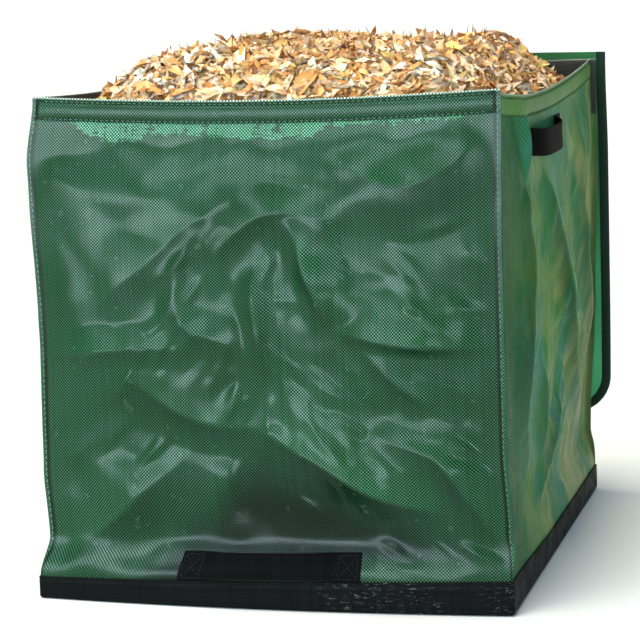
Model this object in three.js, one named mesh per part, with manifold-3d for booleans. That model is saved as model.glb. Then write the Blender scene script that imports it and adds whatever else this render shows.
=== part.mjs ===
// A square, open-topped garden waste bag of woven plastic cloth, standing full of dry leaves.
// Millimetres, +Z up. The origin is on the ground under the middle of the base, and the front faces -Y.
import * as THREE from "three";
import { mergeVertices } from "three/addons/utils/BufferGeometryUtils.js";
import Module from "manifold-3d";

const { clamp, lerp, smoothstep } = THREE.MathUtils;

// Driving dimensions of the bag
const WIDTH = 600; // across the front, between the corner stitch lines
const DEPTH = 640; // front to back
const HEIGHT = 655; // ground to the rim at the corners
const CLOTH = 1.2; // woven cloth
const HEM = 30; // depth of the doubled hem along the rim
const SEAM_FIN = 8; // how far a corner seam stands out past its stitching
const BAND = 38; // height of the black base where it turns up the walls
const BASE_CLOTH = 2; // the coated cloth of the base
const CLEARANCE = 0.5; // gap left between pieces that are sewn or rest together

// Straps
const STRAP_LENGTH = 232;
const STRAP_WIDTH = 36;
const STRAP = 2; // webbing thickness
const STRAP_TAB = 32; // length sewn down flat at each end
const SIDE_STRAP_DROP = 78; // rim to the middle of a side strap
const SIDE_SLACK = 17; // how far a side strap stands off its wall
const FRONT_SLACK = 20;
const STRAP_PATCH = 45; // the cloth comes flat over this distance round a strap

// Lid, hung down behind the back wall
const LID_DROP = 540;
const LID_RISE = 5; // how far its sewn edge stands above the rim
const LID_SEAM = 24; // depth of the strip sewn to the back wall
const LID_STAND = 12; // how far it hangs clear of the wall below that strip
const LID_CORNER = 55;
const BINDING = 12; // width of the folded edge tape
const TAPE = 0.9; // tape thickness

// Leaves
const FILL_GAP = 8; // between the leaves and the walls
const FILL_DROP = 38; // how far the leaves lie below the rim along the walls
const HEAP = 36; // how far the heap rises above the rim
const HEAP_RUN = 110; // from the wall to the heap's full height
const HEAP_LEFT_RUN = 135; // the same from the left wall, where the heap is shallower
const LEAF_LENGTH = 82;
const LEAF_WIDTH = 44;
const LEAF = 2;
const LEAF_FOLD = 0.5; // slope of a leaf's two halves up from its rib
const LEAF_SINK = 2.5; // depth of a leaf's middle in the heap

// How the full bag settles on its front foot
const FOOT_BOW = 13; // the foot line bows out in the middle
const FOOT_LEAN = 14; // and stands further out at its left end
const BAND_SLOPE = 7.5; // the band's top edge drops at the left and rises at the right
const SETTLE_TOP = 220; // no settling shows above this height

// How the walls stand: values up the wall, from the band (0) to the rim (1), as [share, value]
const WALL_SWELL = [[0, 0], [0.09, -0.3], [0.24, 0.45], [0.5, 1], [0.8, 0.75], [1, 0.3]];

// The four corner seams. across and along say how far each leans out, in mm, at shares of its height.
const CORNERS = {
  frontLeft: {
    side: -1, end: -1, lift: 0,
    across: [[0, 13], [0.08, -5], [0.22, 2], [0.5, -1], [0.86, 5], [1, -7]],
    along: [[0, 16], [0.09, 2], [0.3, 6], [0.7, 3], [1, 0]],
  },
  frontRight: {
    side: 1, end: -1, lift: 4,
    across: [[0, 12], [0.1, 5], [0.3, 0], [0.7, -1], [1, 1]],
    along: [[0, 8], [0.09, 0], [0.3, 3], [0.7, 2], [1, 0]],
  },
  backRight: {
    side: 1, end: 1, lift: -5,
    across: [[0, 5], [0.1, -6], [0.45, 3], [0.8, 9], [1, 8]],
    along: [[0, 10], [0.1, -4], [0.4, 4], [0.8, 3], [1, 0]],
  },
  backLeft: {
    side: -1, end: 1, lift: -2,
    across: [[0, 9], [0.1, -4], [0.4, 4], [0.8, 3], [1, -3]],
    along: [[0, 10], [0.1, -4], [0.4, 4], [0.8, 3], [1, 0]],
  },
};

// Creases of the cloth. Each crest runs through [share along the wall, share up the wall]. The cloth falls
// away slowly on the left of its run (gentle, mm) and quickly on its right (steep, mm).
const FRONT_CREASES = [
  { crest: [[0.07, 0.52], [0.26, 0.67], [0.41, 0.77], [0.54, 0.83]], height: 15, gentle: 60, steep: 45 },
  { crest: [[0, 0.46], [0.16, 0.475], [0.36, 0.48]], height: 11, gentle: 38, steep: 26 },
  { crest: [[0.16, 0.43], [0.35, 0.34], [0.5, 0.32]], height: 15, gentle: 60, steep: 40 },
  { crest: [[0.4, 0.66], [0.48, 0.74], [0.58, 0.77], [0.7, 0.75]], height: 12, gentle: 40, steep: 45 },
  { crest: [[0.65, 0.88], [0.78, 0.82], [0.89, 0.85], [1, 0.92]], height: 14, gentle: 52, steep: 40 },
  { crest: [[0.65, 0.53], [0.61, 0.64], [0.575, 0.76]], height: 15, gentle: 32, steep: 52 },
  { crest: [[0.62, 0.53], [0.73, 0.51], [0.86, 0.5], [1, 0.49]], height: 20, gentle: 80, steep: 34 },
  { crest: [[0.7, 0.5], [0.79, 0.43], [0.87, 0.37]], height: 9, gentle: 40, steep: 30 },
  { crest: [[0.46, 0.33], [0.62, 0.25], [0.75, 0.19], [0.88, 0.13]], height: 24, gentle: 95, steep: 46 },
  { crest: [[0.73, 0.32], [0.86, 0.27], [0.92, 0.18], [1, 0.06]], height: 15, gentle: 45, steep: 40 },
  { crest: [[0.02, 0.04], [0.19, 0.15], [0.37, 0.3]], height: 16, gentle: 70, steep: 60 },
  { crest: [[0.51, 0.73], [0.49, 0.58], [0.52, 0.42]], height: 8, gentle: 26, steep: 26 },
  { crest: [[0.31, 0.65], [0.33, 0.53], [0.45, 0.49]], height: 8, gentle: 34, steep: 28 },
];
const RIGHT_CREASES = [
  { crest: [[0.36, 0.84], [0.46, 0.64], [0.58, 0.42], [0.9, 0.1]], height: 18, gentle: 62, steep: 44 },
  { crest: [[0.14, 0.92], [0.2, 0.66], [0.16, 0.4], [0.22, 0.16]], height: 12, gentle: 50, steep: 50 },
  { crest: [[0.58, 0.3], [0.44, 0.18], [0.28, 0.06]], height: 11, gentle: 40, steep: 34 },
  { crest: [[0.8, 0.94], [0.74, 0.66], [0.84, 0.4], [0.8, 0.2]], height: 12, gentle: 48, steep: 56 },
  { crest: [[0.3, 0.44], [0.36, 0.3], [0.34, 0.14]], height: 9, gentle: 36, steep: 34 },
];
const HIDDEN_CREASES = [
  { crest: [[0.12, 0.2], [0.34, 0.34], [0.56, 0.36]], height: 11, gentle: 70, steep: 50 },
  { crest: [[0.46, 0.6], [0.66, 0.5], [0.88, 0.52]], height: 11, gentle: 70, steep: 50 },
  { crest: [[0.2, 0.86], [0.26, 0.62], [0.22, 0.44]], height: 8, gentle: 55, steep: 55 },
  { crest: [[0.84, 0.32], [0.7, 0.22], [0.6, 0.08]], height: 8, gentle: 55, steep: 50 },
];
const CREASE_FADE = 45; // creases die out over this distance from the seams, the band and the hem

const frontStrapHeight = BAND + CLEARANCE + STRAP_WIDTH / 2;
const bellyFoot = BAND + STRAP_WIDTH + 2 * CLEARANCE; // the front strap lies below this height
const sideStrapHeight = HEIGHT - SIDE_STRAP_DROP;

// The walls run anticlockwise seen from above, each from one corner seam to the next. bulge and sag are how
// far, in mm, the filled cloth swells out and the rim dips; sagSkew below 1 moves the dip towards the start.
const WALLS = {
  front: {
    start: "frontLeft", finish: "frontRight", along: [1, 0], outward: [0, -1], length: WIDTH,
    columns: 23, bulge: 22, sag: 8, sagSkew: 1, creases: FRONT_CREASES,
    strap: { share: 0.5, z: frontStrapHeight },
  },
  right: {
    start: "frontRight", finish: "backRight", along: [0, 1], outward: [1, 0], length: DEPTH,
    columns: 15, bulge: 14, sag: 20, sagSkew: 0.75, creases: RIGHT_CREASES,
    strap: { share: 0.4, z: sideStrapHeight },
  },
  back: {
    start: "backRight", finish: "backLeft", along: [-1, 0], outward: [0, 1], length: WIDTH,
    columns: 10, bulge: 12, sag: 5, sagSkew: 1, creases: HIDDEN_CREASES,
    strap: null,
  },
  left: {
    start: "backLeft", finish: "frontLeft", along: [0, -1], outward: [-1, 0], length: DEPTH,
    columns: 10, bulge: 16, sag: 12, sagSkew: 1, creases: HIDDEN_CREASES,
    strap: { share: 0.5, z: sideStrapHeight },
  },
};

const wasm = await Module();
wasm.setup();

function toSolid(geometry) {
  const bare = geometry.clone();
  bare.deleteAttribute("normal");
  bare.deleteAttribute("uv");
  const merged = mergeVertices(bare);
  const mesh = new wasm.Mesh({
    numProp: 3,
    vertProperties: new Float32Array(merged.attributes.position.array),
    triVerts: new Uint32Array(merged.index.array),
  });
  return new wasm.Manifold(mesh);
}

function toGeometry(solid) {
  const mesh = solid.getMesh();
  const geometry = new THREE.BufferGeometry();
  geometry.setAttribute("position", new THREE.BufferAttribute(mesh.vertProperties, 3));
  geometry.setIndex(new THREE.BufferAttribute(mesh.triVerts, 1));
  return geometry;
}

// The value at a place on a smooth line through [place, value] knots
function through(knots, place) {
  const next = knots.findIndex(([knot]) => knot >= place);
  if (next < 0) return knots.at(-1)[1];
  if (next === 0) return knots[0][1];
  const [before, from] = knots[next - 1];
  const [after, to] = knots[next];
  return lerp(from, to, smoothstep(place, before, after));
}

// Share of the way up the wall from the band to the rim
function rise(z) {
  return clamp((z - BAND) / (HEIGHT - BAND), 0, 1);
}

// Where a corner seam's stitching stands at a height
function seam(name, z) {
  const { side, end, across, along } = CORNERS[name];
  const share = rise(z);
  return [side * (WIDTH / 2 + through(across, share)), end * (DEPTH / 2 + through(along, share))];
}

function rim(wall, s) {
  const lift = lerp(CORNERS[wall.start].lift, CORNERS[wall.finish].lift, s);
  return HEIGHT + lift - wall.sag * Math.sin(Math.PI * s ** wall.sagSkew);
}

// How far the filled cloth swells out past the line between its two seams
function swell(wall, s, z) {
  const across = 1 - (2 * s - 1) ** 4;
  return wall.bulge * across * through(WALL_SWELL, rise(z));
}

// Height of one crease above the swollen wall
function creaseHeight(wall, { crest, height, gentle, steep }, s, z) {
  const points = crest.map(([share, up]) => new THREE.Vector2(share * wall.length, lerp(BAND, HEIGHT, up)));
  const place = new THREE.Vector2(s * wall.length, z);
  let nearest = Infinity;
  let reach = gentle;
  let run = 0;
  for (let i = 0; i + 1 < points.length; i++) {
    const leg = points[i + 1].clone().sub(points[i]);
    const offset = place.clone().sub(points[i]);
    const t = clamp(offset.dot(leg) / leg.lengthSq(), 0, 1);
    const distance = offset.distanceTo(leg.clone().multiplyScalar(t));
    if (distance < nearest) {
      nearest = distance;
      reach = leg.cross(offset) > 0 ? gentle : steep;
      run = (i + t) / (points.length - 1);
    }
  }
  const taper = Math.sin(Math.PI * run);
  return height * taper * Math.max(0, 1 - nearest / reach);
}

// 0 under a strap, where the cloth is drawn flat, and 1 well away from it
function awayFromStrap(wall, s, z) {
  if (!wall.strap) return 1;
  const beside = Math.abs(s - wall.strap.share) * wall.length - STRAP_LENGTH / 2;
  const above = Math.abs(z - wall.strap.z) - STRAP_WIDTH / 2;
  return smoothstep(Math.max(beside, above), STRAP_PATCH / 2, STRAP_PATCH * 1.5);
}

function creases(wall, s, z) {
  const fromSeam = smoothstep(Math.min(s, 1 - s) * wall.length, 0, CREASE_FADE);
  const fromBand = smoothstep(z, BAND, BAND + CREASE_FADE);
  const fromHem = smoothstep(rim(wall, s) - HEM - z, 0, CREASE_FADE);
  const total = wall.creases.reduce((sum, crease) => sum + creaseHeight(wall, crease, s, z), 0);
  return total * fromSeam * fromBand * fromHem * awayFromStrap(wall, s, z);
}

// A point at a distance outside the line between a wall's two seams
function besideSeams(wall, s, z, out) {
  const [x0, y0] = seam(wall.start, z);
  const [x1, y1] = seam(wall.finish, z);
  return new THREE.Vector3(lerp(x0, x1, s) + wall.outward[0] * out, lerp(y0, y1, s) + wall.outward[1] * out, z);
}

// The wall's outer face without its creases, and a distance outside that
function smoothFace(wall, s, z, out = 0) {
  return besideSeams(wall, s, z, swell(wall, s, z) + out);
}

// Turn the diagonal of one cell of a geometry's grid, whose six corners start at a place in its index.
function turnDiagonal(index, start) {
  const [a, b, d, , c] = index.array.slice(start, start + 6);
  index.array.set([a, b, c, a, c, d], start);
}

// Cut each cell along the diagonal that lies closer to the sheet. Both sides are cut alike, so that they keep
// their distance. A box's inner side has its diagonals falling and its outer side rising at first.
function cutCells(box, columns, rows, place) {
  const [, , inner, outer] = box.groups;
  const middle = (column0, row0, column1, row1) => place(column0, row0, false).lerp(place(column1, row1, false), 0.5);
  for (let row = 0; row < rows; row++) {
    for (let column = 0; column < columns; column++) {
      const centre = place(column + 0.5, row + 0.5, false);
      const rising = middle(column, row, column + 1, row + 1).distanceTo(centre);
      const falling = middle(column, row + 1, column + 1, row).distanceTo(centre);
      const [side, line] = rising < falling ? [inner, row] : [outer, rows - 1 - row];
      turnDiagonal(box.index, side.start + 6 * (line * columns + column));
    }
  }
}

// A thin closed sheet: a box whose columns, rows and two sides are placed one by one
function sheet(columns, rows, place) {
  const box = new THREE.BoxGeometry(1, 1, 1, columns, 1, rows);
  cutCells(box, columns, rows, place);
  const positions = box.attributes.position;
  for (let i = 0; i < positions.count; i++) {
    const column = Math.round((positions.getX(i) + 0.5) * columns);
    const row = Math.round((positions.getZ(i) + 0.5) * rows);
    const inside = positions.getY(i) > 0;
    const point = place(column, row, inside);
    positions.setXYZ(i, point.x, point.y, point.z);
  }
  box.deleteAttribute("normal");
  box.deleteAttribute("uv");
  return mergeVertices(box);
}

// All panels have the same rows, so that they meet along the corner seams.
const PANEL_ROWS = 22;
const BELLY_ROW = 2; // the first row above the front strap
const HEM_ROW = PANEL_ROWS - 2;

// Rows of a wall panel: its foot, the band's top, the front strap's top, up to the hem, its edge and the rim
function rowHeight(wall, s, row) {
  const hemLine = rim(wall, s) - HEM;
  if (row === 0) return BASE_CLOTH + CLEARANCE;
  if (row < BELLY_ROW) return BAND;
  if (row <= HEM_ROW) return lerp(bellyFoot, hemLine, (row - BELLY_ROW) / (HEM_ROW - BELLY_ROW));
  return row === PANEL_ROWS ? rim(wall, s) : hemLine + CLOTH;
}

// The smooth face as a panel's rows cut it, straight from each row to the next, and a distance outside that
function rowFace(wall, s, z, out) {
  let row = 1;
  while (row + 1 < PANEL_ROWS && rowHeight(wall, s, row + 1) < z) row++;
  const low = rowHeight(wall, s, row);
  const high = rowHeight(wall, s, row + 1);
  return smoothFace(wall, s, low, out).lerp(smoothFace(wall, s, high, out), (z - low) / (high - low));
}

// The hem's second layer lies inside and stops at the corner seams.
function thickness(column, columns, row) {
  const inHem = row >= PANEL_ROWS - 1 && column > 1 && column < columns - 1;
  return inHem ? 2 * CLOTH : CLOTH;
}

// Seam fins run out above the band and close up to nothing inside it.
function finWidth(z) {
  return lerp(CLEARANCE, SEAM_FIN, smoothstep(z, BAND, BAND + CREASE_FADE));
}

// Which upright edge a column is: -1 at the start, 1 at the finish, 0 between
function edgeOf(column, columns) {
  if (column === 0) return -1;
  return column === columns ? 1 : 0;
}

// Front and back: the cloth runs past both corners in its own plane, as fins.
function finnedPanel(wall) {
  const { columns } = wall;
  return sheet(columns, PANEL_ROWS, (column, row, inside) => {
    const s = clamp((column - 1) / (columns - 2), 0, 1);
    const z = rowHeight(wall, s, row);
    const inward = inside ? thickness(column, columns, row) : 0;
    const point = smoothFace(wall, s, z, creases(wall, s, z) - inward);
    const fin = edgeOf(column, columns) * finWidth(z);
    point.x += wall.along[0] * fin;
    point.y += wall.along[1] * fin;
    return point;
  });
}

// Sides: the cloth fits between front and back, with its edges turned out behind their fins.
function flangedPanel(wall) {
  const { columns } = wall;
  return sheet(columns, PANEL_ROWS, (column, row, inside) => {
    const lap = CLOTH + CLEARANCE + (inside ? 0 : CLOTH);
    const k = clamp((column - 1) / (columns - 2), 0, 1);
    const s = lerp(lap, wall.length - lap, k) / wall.length;
    const z = rowHeight(wall, s, row);
    if (edgeOf(column, columns)) return besideSeams(wall, s, z, finWidth(z));
    const inward = inside ? thickness(column, columns, row) : 0;
    return smoothFace(wall, s, z, creases(wall, s, z) - inward);
  });
}

// The full bag's weight spreads its front foot: the foot line bows and leans out, and the band stands uneven.
function settle(geometry) {
  const positions = geometry.attributes.position;
  for (let i = 0; i < positions.count; i++) {
    const { x, y, z } = new THREE.Vector3().fromBufferAttribute(positions, i);
    const across = x / (WIDTH / 2);
    const share = smoothstep(-y, 0, DEPTH / 2) * (1 - smoothstep(z, 2 * BAND, SETTLE_TOP));
    const out = FOOT_BOW * (1 - across ** 2) + (FOOT_LEAN * (1 - across)) / 2;
    const up = BAND_SLOPE * across * clamp(z / BAND, 0, 1);
    positions.setXYZ(i, x, y - share * out, z + share * up);
  }
  return geometry;
}

// Points along the front of the base beside the front panel's columns, so that both can bow alike
function alongFront(from, to) {
  const cells = WALLS.front.columns - 2;
  return Array.from({ length: cells - 1 }, (_, i) => from.clone().lerp(to, (i + 1) / cells));
}

// Outline of the base outside the walls' feet, by a margin
function baseOutline(margin, radius) {
  const corners = ["frontLeft", "frontRight", "backRight", "backLeft"].map((name) => {
    const [x, y] = seam(name, 0);
    const { side, end } = CORNERS[name];
    return new THREE.Vector2(x + side * (2 * CLEARANCE + margin), y + end * (CLEARANCE + margin));
  });
  const outline = new THREE.Shape();
  corners.forEach((corner, i) => {
    const next = corners[(i + 1) % corners.length];
    const before = corners.at(i - 1).clone().sub(corner).setLength(radius).add(corner);
    const after = next.clone().sub(corner).setLength(radius).add(corner);
    if (i === 0) outline.moveTo(before.x, before.y);
    else outline.lineTo(before.x, before.y);
    outline.quadraticCurveTo(corner.x, corner.y, after.x, after.y);
    if (i === 0) alongFront(corner, next).forEach(({ x, y }) => outline.lineTo(x, y));
  });
  return outline;
}

function baseTray() {
  const prism = { bevelEnabled: false, curveSegments: 4 };
  const outer = new THREE.ExtrudeGeometry(baseOutline(BASE_CLOTH, 1.5 * BASE_CLOTH), { ...prism, depth: BAND });
  const hollow = new THREE.ExtrudeGeometry(baseOutline(0, CLEARANCE / 2), { ...prism, depth: BAND });
  hollow.translate(0, 0, BASE_CLOTH);
  return toGeometry(toSolid(settle(outer)).subtract(toSolid(settle(hollow))));
}

// A webbing strap, sewn flat at both ends, and standing upright off the wall between them
function strap(wall, slack) {
  const STEPS = 16;
  const STRIPS = 2;
  return sheet(STEPS, STRIPS, (column, row, inside) => {
    const run = (column / STEPS) * STRAP_LENGTH;
    const s = wall.strap.share + (run - STRAP_LENGTH / 2) / wall.length;
    const z = wall.strap.z + (row / STRIPS - 0.5) * STRAP_WIDTH;
    const between = clamp((run - STRAP_TAB) / (STRAP_LENGTH - 2 * STRAP_TAB), 0, 1);
    const loose = 1 - (2 * between - 1) ** 4;
    const out = CLEARANCE + slack * loose + (inside ? 0 : STRAP);
    const sewn = rowFace(wall, s, z, out);
    const upright = rowFace(wall, s, wall.strap.z, out).setZ(z);
    return sewn.lerp(upright, loose);
  });
}

// Between its edge tapes the lid follows the back wall, and its tapes clear the back seam fins.
const backLean = Math.max(...[...CORNERS.backRight.across, ...CORNERS.backLeft.across].map(([, lean]) => lean));
const lidBody = WIDTH / 2 + backLean + SEAM_FIN + CLEARANCE;
const lidHalf = lidBody + BINDING;
const LID_COLUMNS = 10;
const LID_STRAIGHT = 11; // rows down its straight sides
const LID_ROUND = 4; // rows round a lower corner

// A point of the lid, by its place across, its drop from the sewn edge and its place through the cloth
function lidPoint(x, drop, outside) {
  const z = HEIGHT + LID_RISE - drop;
  const s = clamp(0.5 - x / (2 * lidBody), 0, 1);
  const hang = LID_STAND * smoothstep(drop, LID_SEAM, LID_SEAM + LID_DROP / 4);
  const point = rowFace(WALLS.back, s, z, CLEARANCE + hang + outside);
  return new THREE.Vector3(x, point.y, z);
}

// The lid's edge at each row from the top: straight down the side, then round the lower corner
function lidEdge(down) {
  const turn = clamp((down - LID_STRAIGHT) / LID_ROUND, 0, 1) * (Math.PI / 2);
  const straight = clamp(down / LID_STRAIGHT, 0, 1) * (LID_DROP - LID_CORNER);
  return {
    x: lidHalf - LID_CORNER * (1 - Math.cos(turn)),
    drop: straight + LID_CORNER * Math.sin(turn),
    turn,
  };
}

function lidPanel() {
  const rows = LID_STRAIGHT + LID_ROUND;
  return sheet(LID_COLUMNS, rows, (column, row, inside) => {
    const { x, drop } = lidEdge(rows - row);
    const body = x - BINDING;
    const across = clamp((column - 1) / (LID_COLUMNS - 2), 0, 1);
    const place = lerp(body, -body, across) - edgeOf(column, LID_COLUMNS) * BINDING;
    return lidPoint(place, drop, inside ? 0 : CLOTH);
  });
}

// Stations round the lid's free edges, from its top right corner down, across and up again
function lidEdges() {
  const CROSSING = 4; // steps from a lower corner to the middle
  const side = [];
  for (let down = 0; down <= LID_STRAIGHT + LID_ROUND; down++) side.push(lidEdge(down));
  const corner = side.at(-1);
  for (let i = 1; i < CROSSING; i++) side.push({ ...corner, x: corner.x * (1 - i / CROSSING) });
  const mirrored = side.map(({ x, drop, turn }) => ({ x: -x, drop, turn: Math.PI - turn })).reverse();
  return [...side, { ...corner, x: 0 }, ...mirrored];
}

// Edge tape folded over the lid's edge: a U section carried round the free edges
function lidBinding() {
  const edge = lidEdges();
  const slot = CLEARANCE;
  const skin = CLEARANCE + TAPE;
  const section = new THREE.Shape([
    new THREE.Vector2(BINDING, -skin),
    new THREE.Vector2(BINDING, -slot),
    new THREE.Vector2(-slot, -slot),
    new THREE.Vector2(-slot, CLOTH + slot),
    new THREE.Vector2(BINDING, CLOTH + slot),
    new THREE.Vector2(BINDING, CLOTH + skin),
    new THREE.Vector2(-skin, CLOTH + skin),
    new THREE.Vector2(-skin, -skin),
  ]);
  const steps = edge.length - 1;
  const tape = new THREE.ExtrudeGeometry(section, { depth: steps, steps, bevelEnabled: false });
  const positions = tape.attributes.position;
  for (let i = 0; i < positions.count; i++) {
    const { x, drop, turn } = edge[Math.round(positions.getZ(i))];
    const inward = positions.getX(i);
    const point = lidPoint(x - inward * Math.cos(turn), drop - inward * Math.sin(turn), positions.getY(i));
    positions.setXYZ(i, point.x, point.y, point.z);
  }
  return tape;
}

const HEAP_CELLS = 8; // the heap's grid, each way

// Top of the heaped leaves: low along the walls, full in the middle, with soft lumps
function heapTop(x, y) {
  const LUMP = 6;
  const LUMP_RUN = 58;
  const fromSides = smoothstep(WIDTH / 2 - Math.abs(x), 0, x < 0 ? HEAP_LEFT_RUN : HEAP_RUN);
  const fromEnds = smoothstep(DEPTH / 2 - Math.abs(y), 0, HEAP_RUN);
  const lump = LUMP * Math.sin(x / LUMP_RUN) * Math.cos(y / LUMP_RUN + x / WIDTH);
  return HEIGHT - FILL_DROP + (HEAP + FILL_DROP) * fromSides * fromEnds + lump * fromSides;
}

// The leaves as one body that fills the bag, clear of its walls
function heapBody() {
  const { front, right, back, left } = WALLS;
  const inset = -2 * CLOTH - FILL_GAP;
  const UP = 9;
  const body = new THREE.BoxGeometry(1, 1, 1, HEAP_CELLS, HEAP_CELLS, UP);
  const positions = body.attributes.position;
  for (let i = 0; i < positions.count; i++) {
    const u = positions.getX(i) + 0.5;
    const w = positions.getY(i) + 0.5;
    const row = Math.round((positions.getZ(i) + 0.5) * UP);
    const top = heapTop((u - 0.5) * WIDTH, (w - 0.5) * DEPTH);
    const belly = lerp(bellyFoot, top, (row - BELLY_ROW) / (UP - BELLY_ROW));
    const z = row < BELLY_ROW ? rowHeight(front, u, row) : belly;
    const x = lerp(smoothFace(left, 1 - w, z, inset).x, smoothFace(right, w, z, inset).x, u);
    const y = lerp(smoothFace(front, u, z, inset).y, smoothFace(back, 1 - u, z, inset).y, w);
    positions.setXYZ(i, x, y, z);
  }
  return body;
}

// One dry leaf: a pointed blade, broadest near its stalk, folded up along its rib. Its outline starts at a
// side, because the blade is then cut from tip to tip.
function leaf(length, width) {
  const tip = length / 2;
  const blade = new THREE.Shape();
  blade.moveTo(-tip / 4, -width / 2);
  blade.lineTo(tip, 0);
  blade.lineTo(-tip / 4, width / 2);
  blade.lineTo(-tip, 0);
  const geometry = new THREE.ExtrudeGeometry(blade, { depth: LEAF, bevelEnabled: false });
  const positions = geometry.attributes.position;
  for (let i = 0; i < positions.count; i++) {
    positions.setZ(i, positions.getZ(i) + LEAF_FOLD * Math.abs(positions.getY(i)));
  }
  return geometry;
}

// A repeatable run of numbers from 0 to 1
function scatter(seed) {
  let state = seed;
  return () => {
    state = (state * 16807) % 2147483647;
    return state / 2147483647;
  };
}

// The heap with single leaves standing out of its top, each sunk in at its middle
function leafFill() {
  const ROWS = 9;
  const TILT = 1.1;
  const SMALLEST = 0.6; // as a share of the largest leaf
  const next = scatter(2222);
  const reachX = WIDTH / 2 - LEAF_LENGTH / 2 - HEAP_RUN / 5;
  const reachY = DEPTH / 2 - LEAF_LENGTH / 2 - HEAP_RUN / 5;
  const body = heapBody();
  const heap = new THREE.Mesh(body);
  const ray = new THREE.Raycaster();
  const down = new THREE.Vector3(0, 0, -1);
  let solid = toSolid(body);
  for (let i = 0; i < ROWS * ROWS; i++) {
    const x = lerp(-reachX, reachX, ((i % ROWS) + next()) / ROWS);
    const y = lerp(-reachY, reachY, (Math.floor(i / ROWS) + next()) / ROWS);
    const size = lerp(SMALLEST, 1, next());
    const turn = new THREE.Euler(TILT * (next() - 0.5), TILT * (next() - 0.5), 2 * Math.PI * next(), "ZYX");
    const place = new THREE.Matrix4().makeRotationFromEuler(turn);
    ray.set(new THREE.Vector3(x, y, 2 * HEIGHT), down);
    const [top] = ray.intersectObject(heap);
    place.setPosition(x, y, top.point.z - LEAF_SINK);
    solid = solid.add(toSolid(leaf(LEAF_LENGTH * size, LEAF_WIDTH * size).applyMatrix4(place)));
  }
  return toGeometry(solid);
}

function material(color, roughness) {
  return new THREE.MeshStandardMaterial({ color, roughness, metalness: 0 });
}

function piece(name, geometry, look) {
  const mesh = new THREE.Mesh(geometry, look);
  mesh.name = name;
  return mesh;
}

const GREEN = 0x2f6b48;
const OLIVE = 0x55754a;
const BLACK = 0x17191c;
const LEAF_BROWN = 0xc79a5e;

const walls = new THREE.Group();
walls.add(
  piece("front_panel", settle(finnedPanel(WALLS.front)), material(GREEN, 0.5)),
  piece("right_side_panel", settle(flangedPanel(WALLS.right)), material(OLIVE, 0.5)),
  piece("back_panel", finnedPanel(WALLS.back), material(GREEN, 0.5)),
  piece("left_side_panel", settle(flangedPanel(WALLS.left)), material(GREEN, 0.5)),
);

const straps = new THREE.Group();
straps.add(
  piece("front_handle", settle(strap(WALLS.front, FRONT_SLACK)), material(BLACK, 0.7)),
  piece("right_handle", strap(WALLS.right, SIDE_SLACK), material(BLACK, 0.7)),
  piece("left_handle", strap(WALLS.left, SIDE_SLACK), material(BLACK, 0.7)),
);

const lid = new THREE.Group();
lid.add(
  piece("lid_panel", lidPanel(), material(GREEN, 0.5)),
  piece("lid_binding", lidBinding(), material(BLACK, 0.6)),
);

const bag = new THREE.Group();
bag.add(
  walls,
  straps,
  lid,
  piece("base_tray", baseTray(), material(BLACK, 0.55)),
  piece("leaf_fill", settle(leafFill()), material(LEAF_BROWN, 0.8)),
);

export default bag;
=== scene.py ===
"""Looks of a square garden waste bag of woven plastic cloth, standing full of dry leaves.

Metres, +Z up, the front faces -Y. Every wall is a fine sheet over the same seams, swell and creases as its
solid, with its hem, stitching and woven finish. The leaves are thousands of single curled scraps.
"""
import math
from types import SimpleNamespace

import bpy
import numpy as np
from mathutils import Matrix, Vector


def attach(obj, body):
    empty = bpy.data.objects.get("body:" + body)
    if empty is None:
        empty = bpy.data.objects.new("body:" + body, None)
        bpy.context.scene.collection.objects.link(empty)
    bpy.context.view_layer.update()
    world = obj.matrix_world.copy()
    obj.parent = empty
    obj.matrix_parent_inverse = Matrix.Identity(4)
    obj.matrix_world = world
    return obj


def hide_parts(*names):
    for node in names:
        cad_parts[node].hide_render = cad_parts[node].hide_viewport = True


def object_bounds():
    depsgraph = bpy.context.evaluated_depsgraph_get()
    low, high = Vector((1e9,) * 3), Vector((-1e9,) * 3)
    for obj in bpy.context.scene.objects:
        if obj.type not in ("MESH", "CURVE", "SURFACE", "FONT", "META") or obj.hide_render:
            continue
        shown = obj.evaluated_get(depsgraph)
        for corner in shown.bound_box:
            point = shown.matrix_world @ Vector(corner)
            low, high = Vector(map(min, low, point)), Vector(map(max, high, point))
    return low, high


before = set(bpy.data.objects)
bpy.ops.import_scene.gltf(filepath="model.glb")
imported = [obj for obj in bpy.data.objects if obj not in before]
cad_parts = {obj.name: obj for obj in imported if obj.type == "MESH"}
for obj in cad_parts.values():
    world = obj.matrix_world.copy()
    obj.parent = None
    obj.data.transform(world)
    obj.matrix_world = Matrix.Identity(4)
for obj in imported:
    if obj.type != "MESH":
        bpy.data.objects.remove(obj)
cad_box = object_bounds()

# Sizes of the bag
WIDTH = 0.600  # across the front, between the corner stitch lines
DEPTH = 0.640
HEIGHT = 0.655  # ground to the rim at the corners
HEM = 0.030
SEAM_FIN = 0.008  # how far a corner seam stands out past its stitching
BAND = 0.038  # height of the black base where it turns up the walls
BASE_CLOTH = 0.002
GAP = 0.0005  # between pieces that are sewn or rest together
PLY = 0.0012
LINING = 0.080  # how far the inside of a wall is modelled below its rim
STRAP_LENGTH = 0.232
STRAP_WIDTH = 0.036
STRAP = 0.002
STRAP_TAB = 0.032
SIDE_STRAP_Z = HEIGHT - 0.078
FRONT_STRAP_Z = BAND + GAP + STRAP_WIDTH / 2
LID_DROP = 0.540
LID_RISE = 0.005
LID_SEAM = 0.024
LID_STAND = 0.012
LID_CORNER = 0.055
LID_SWAY = 0.004
BINDING = 0.012
TAPE = 0.0009
FILL_DROP = 0.038  # how far the leaves lie below the rim along the walls
HEAP = 0.036  # how far the heap rises above the rim
HEAP_RUN = 0.110
HEAP_LEFT_RUN = 0.135
HEAP_LUMP = 0.006
LUMP_PITCH = 0.058
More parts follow.
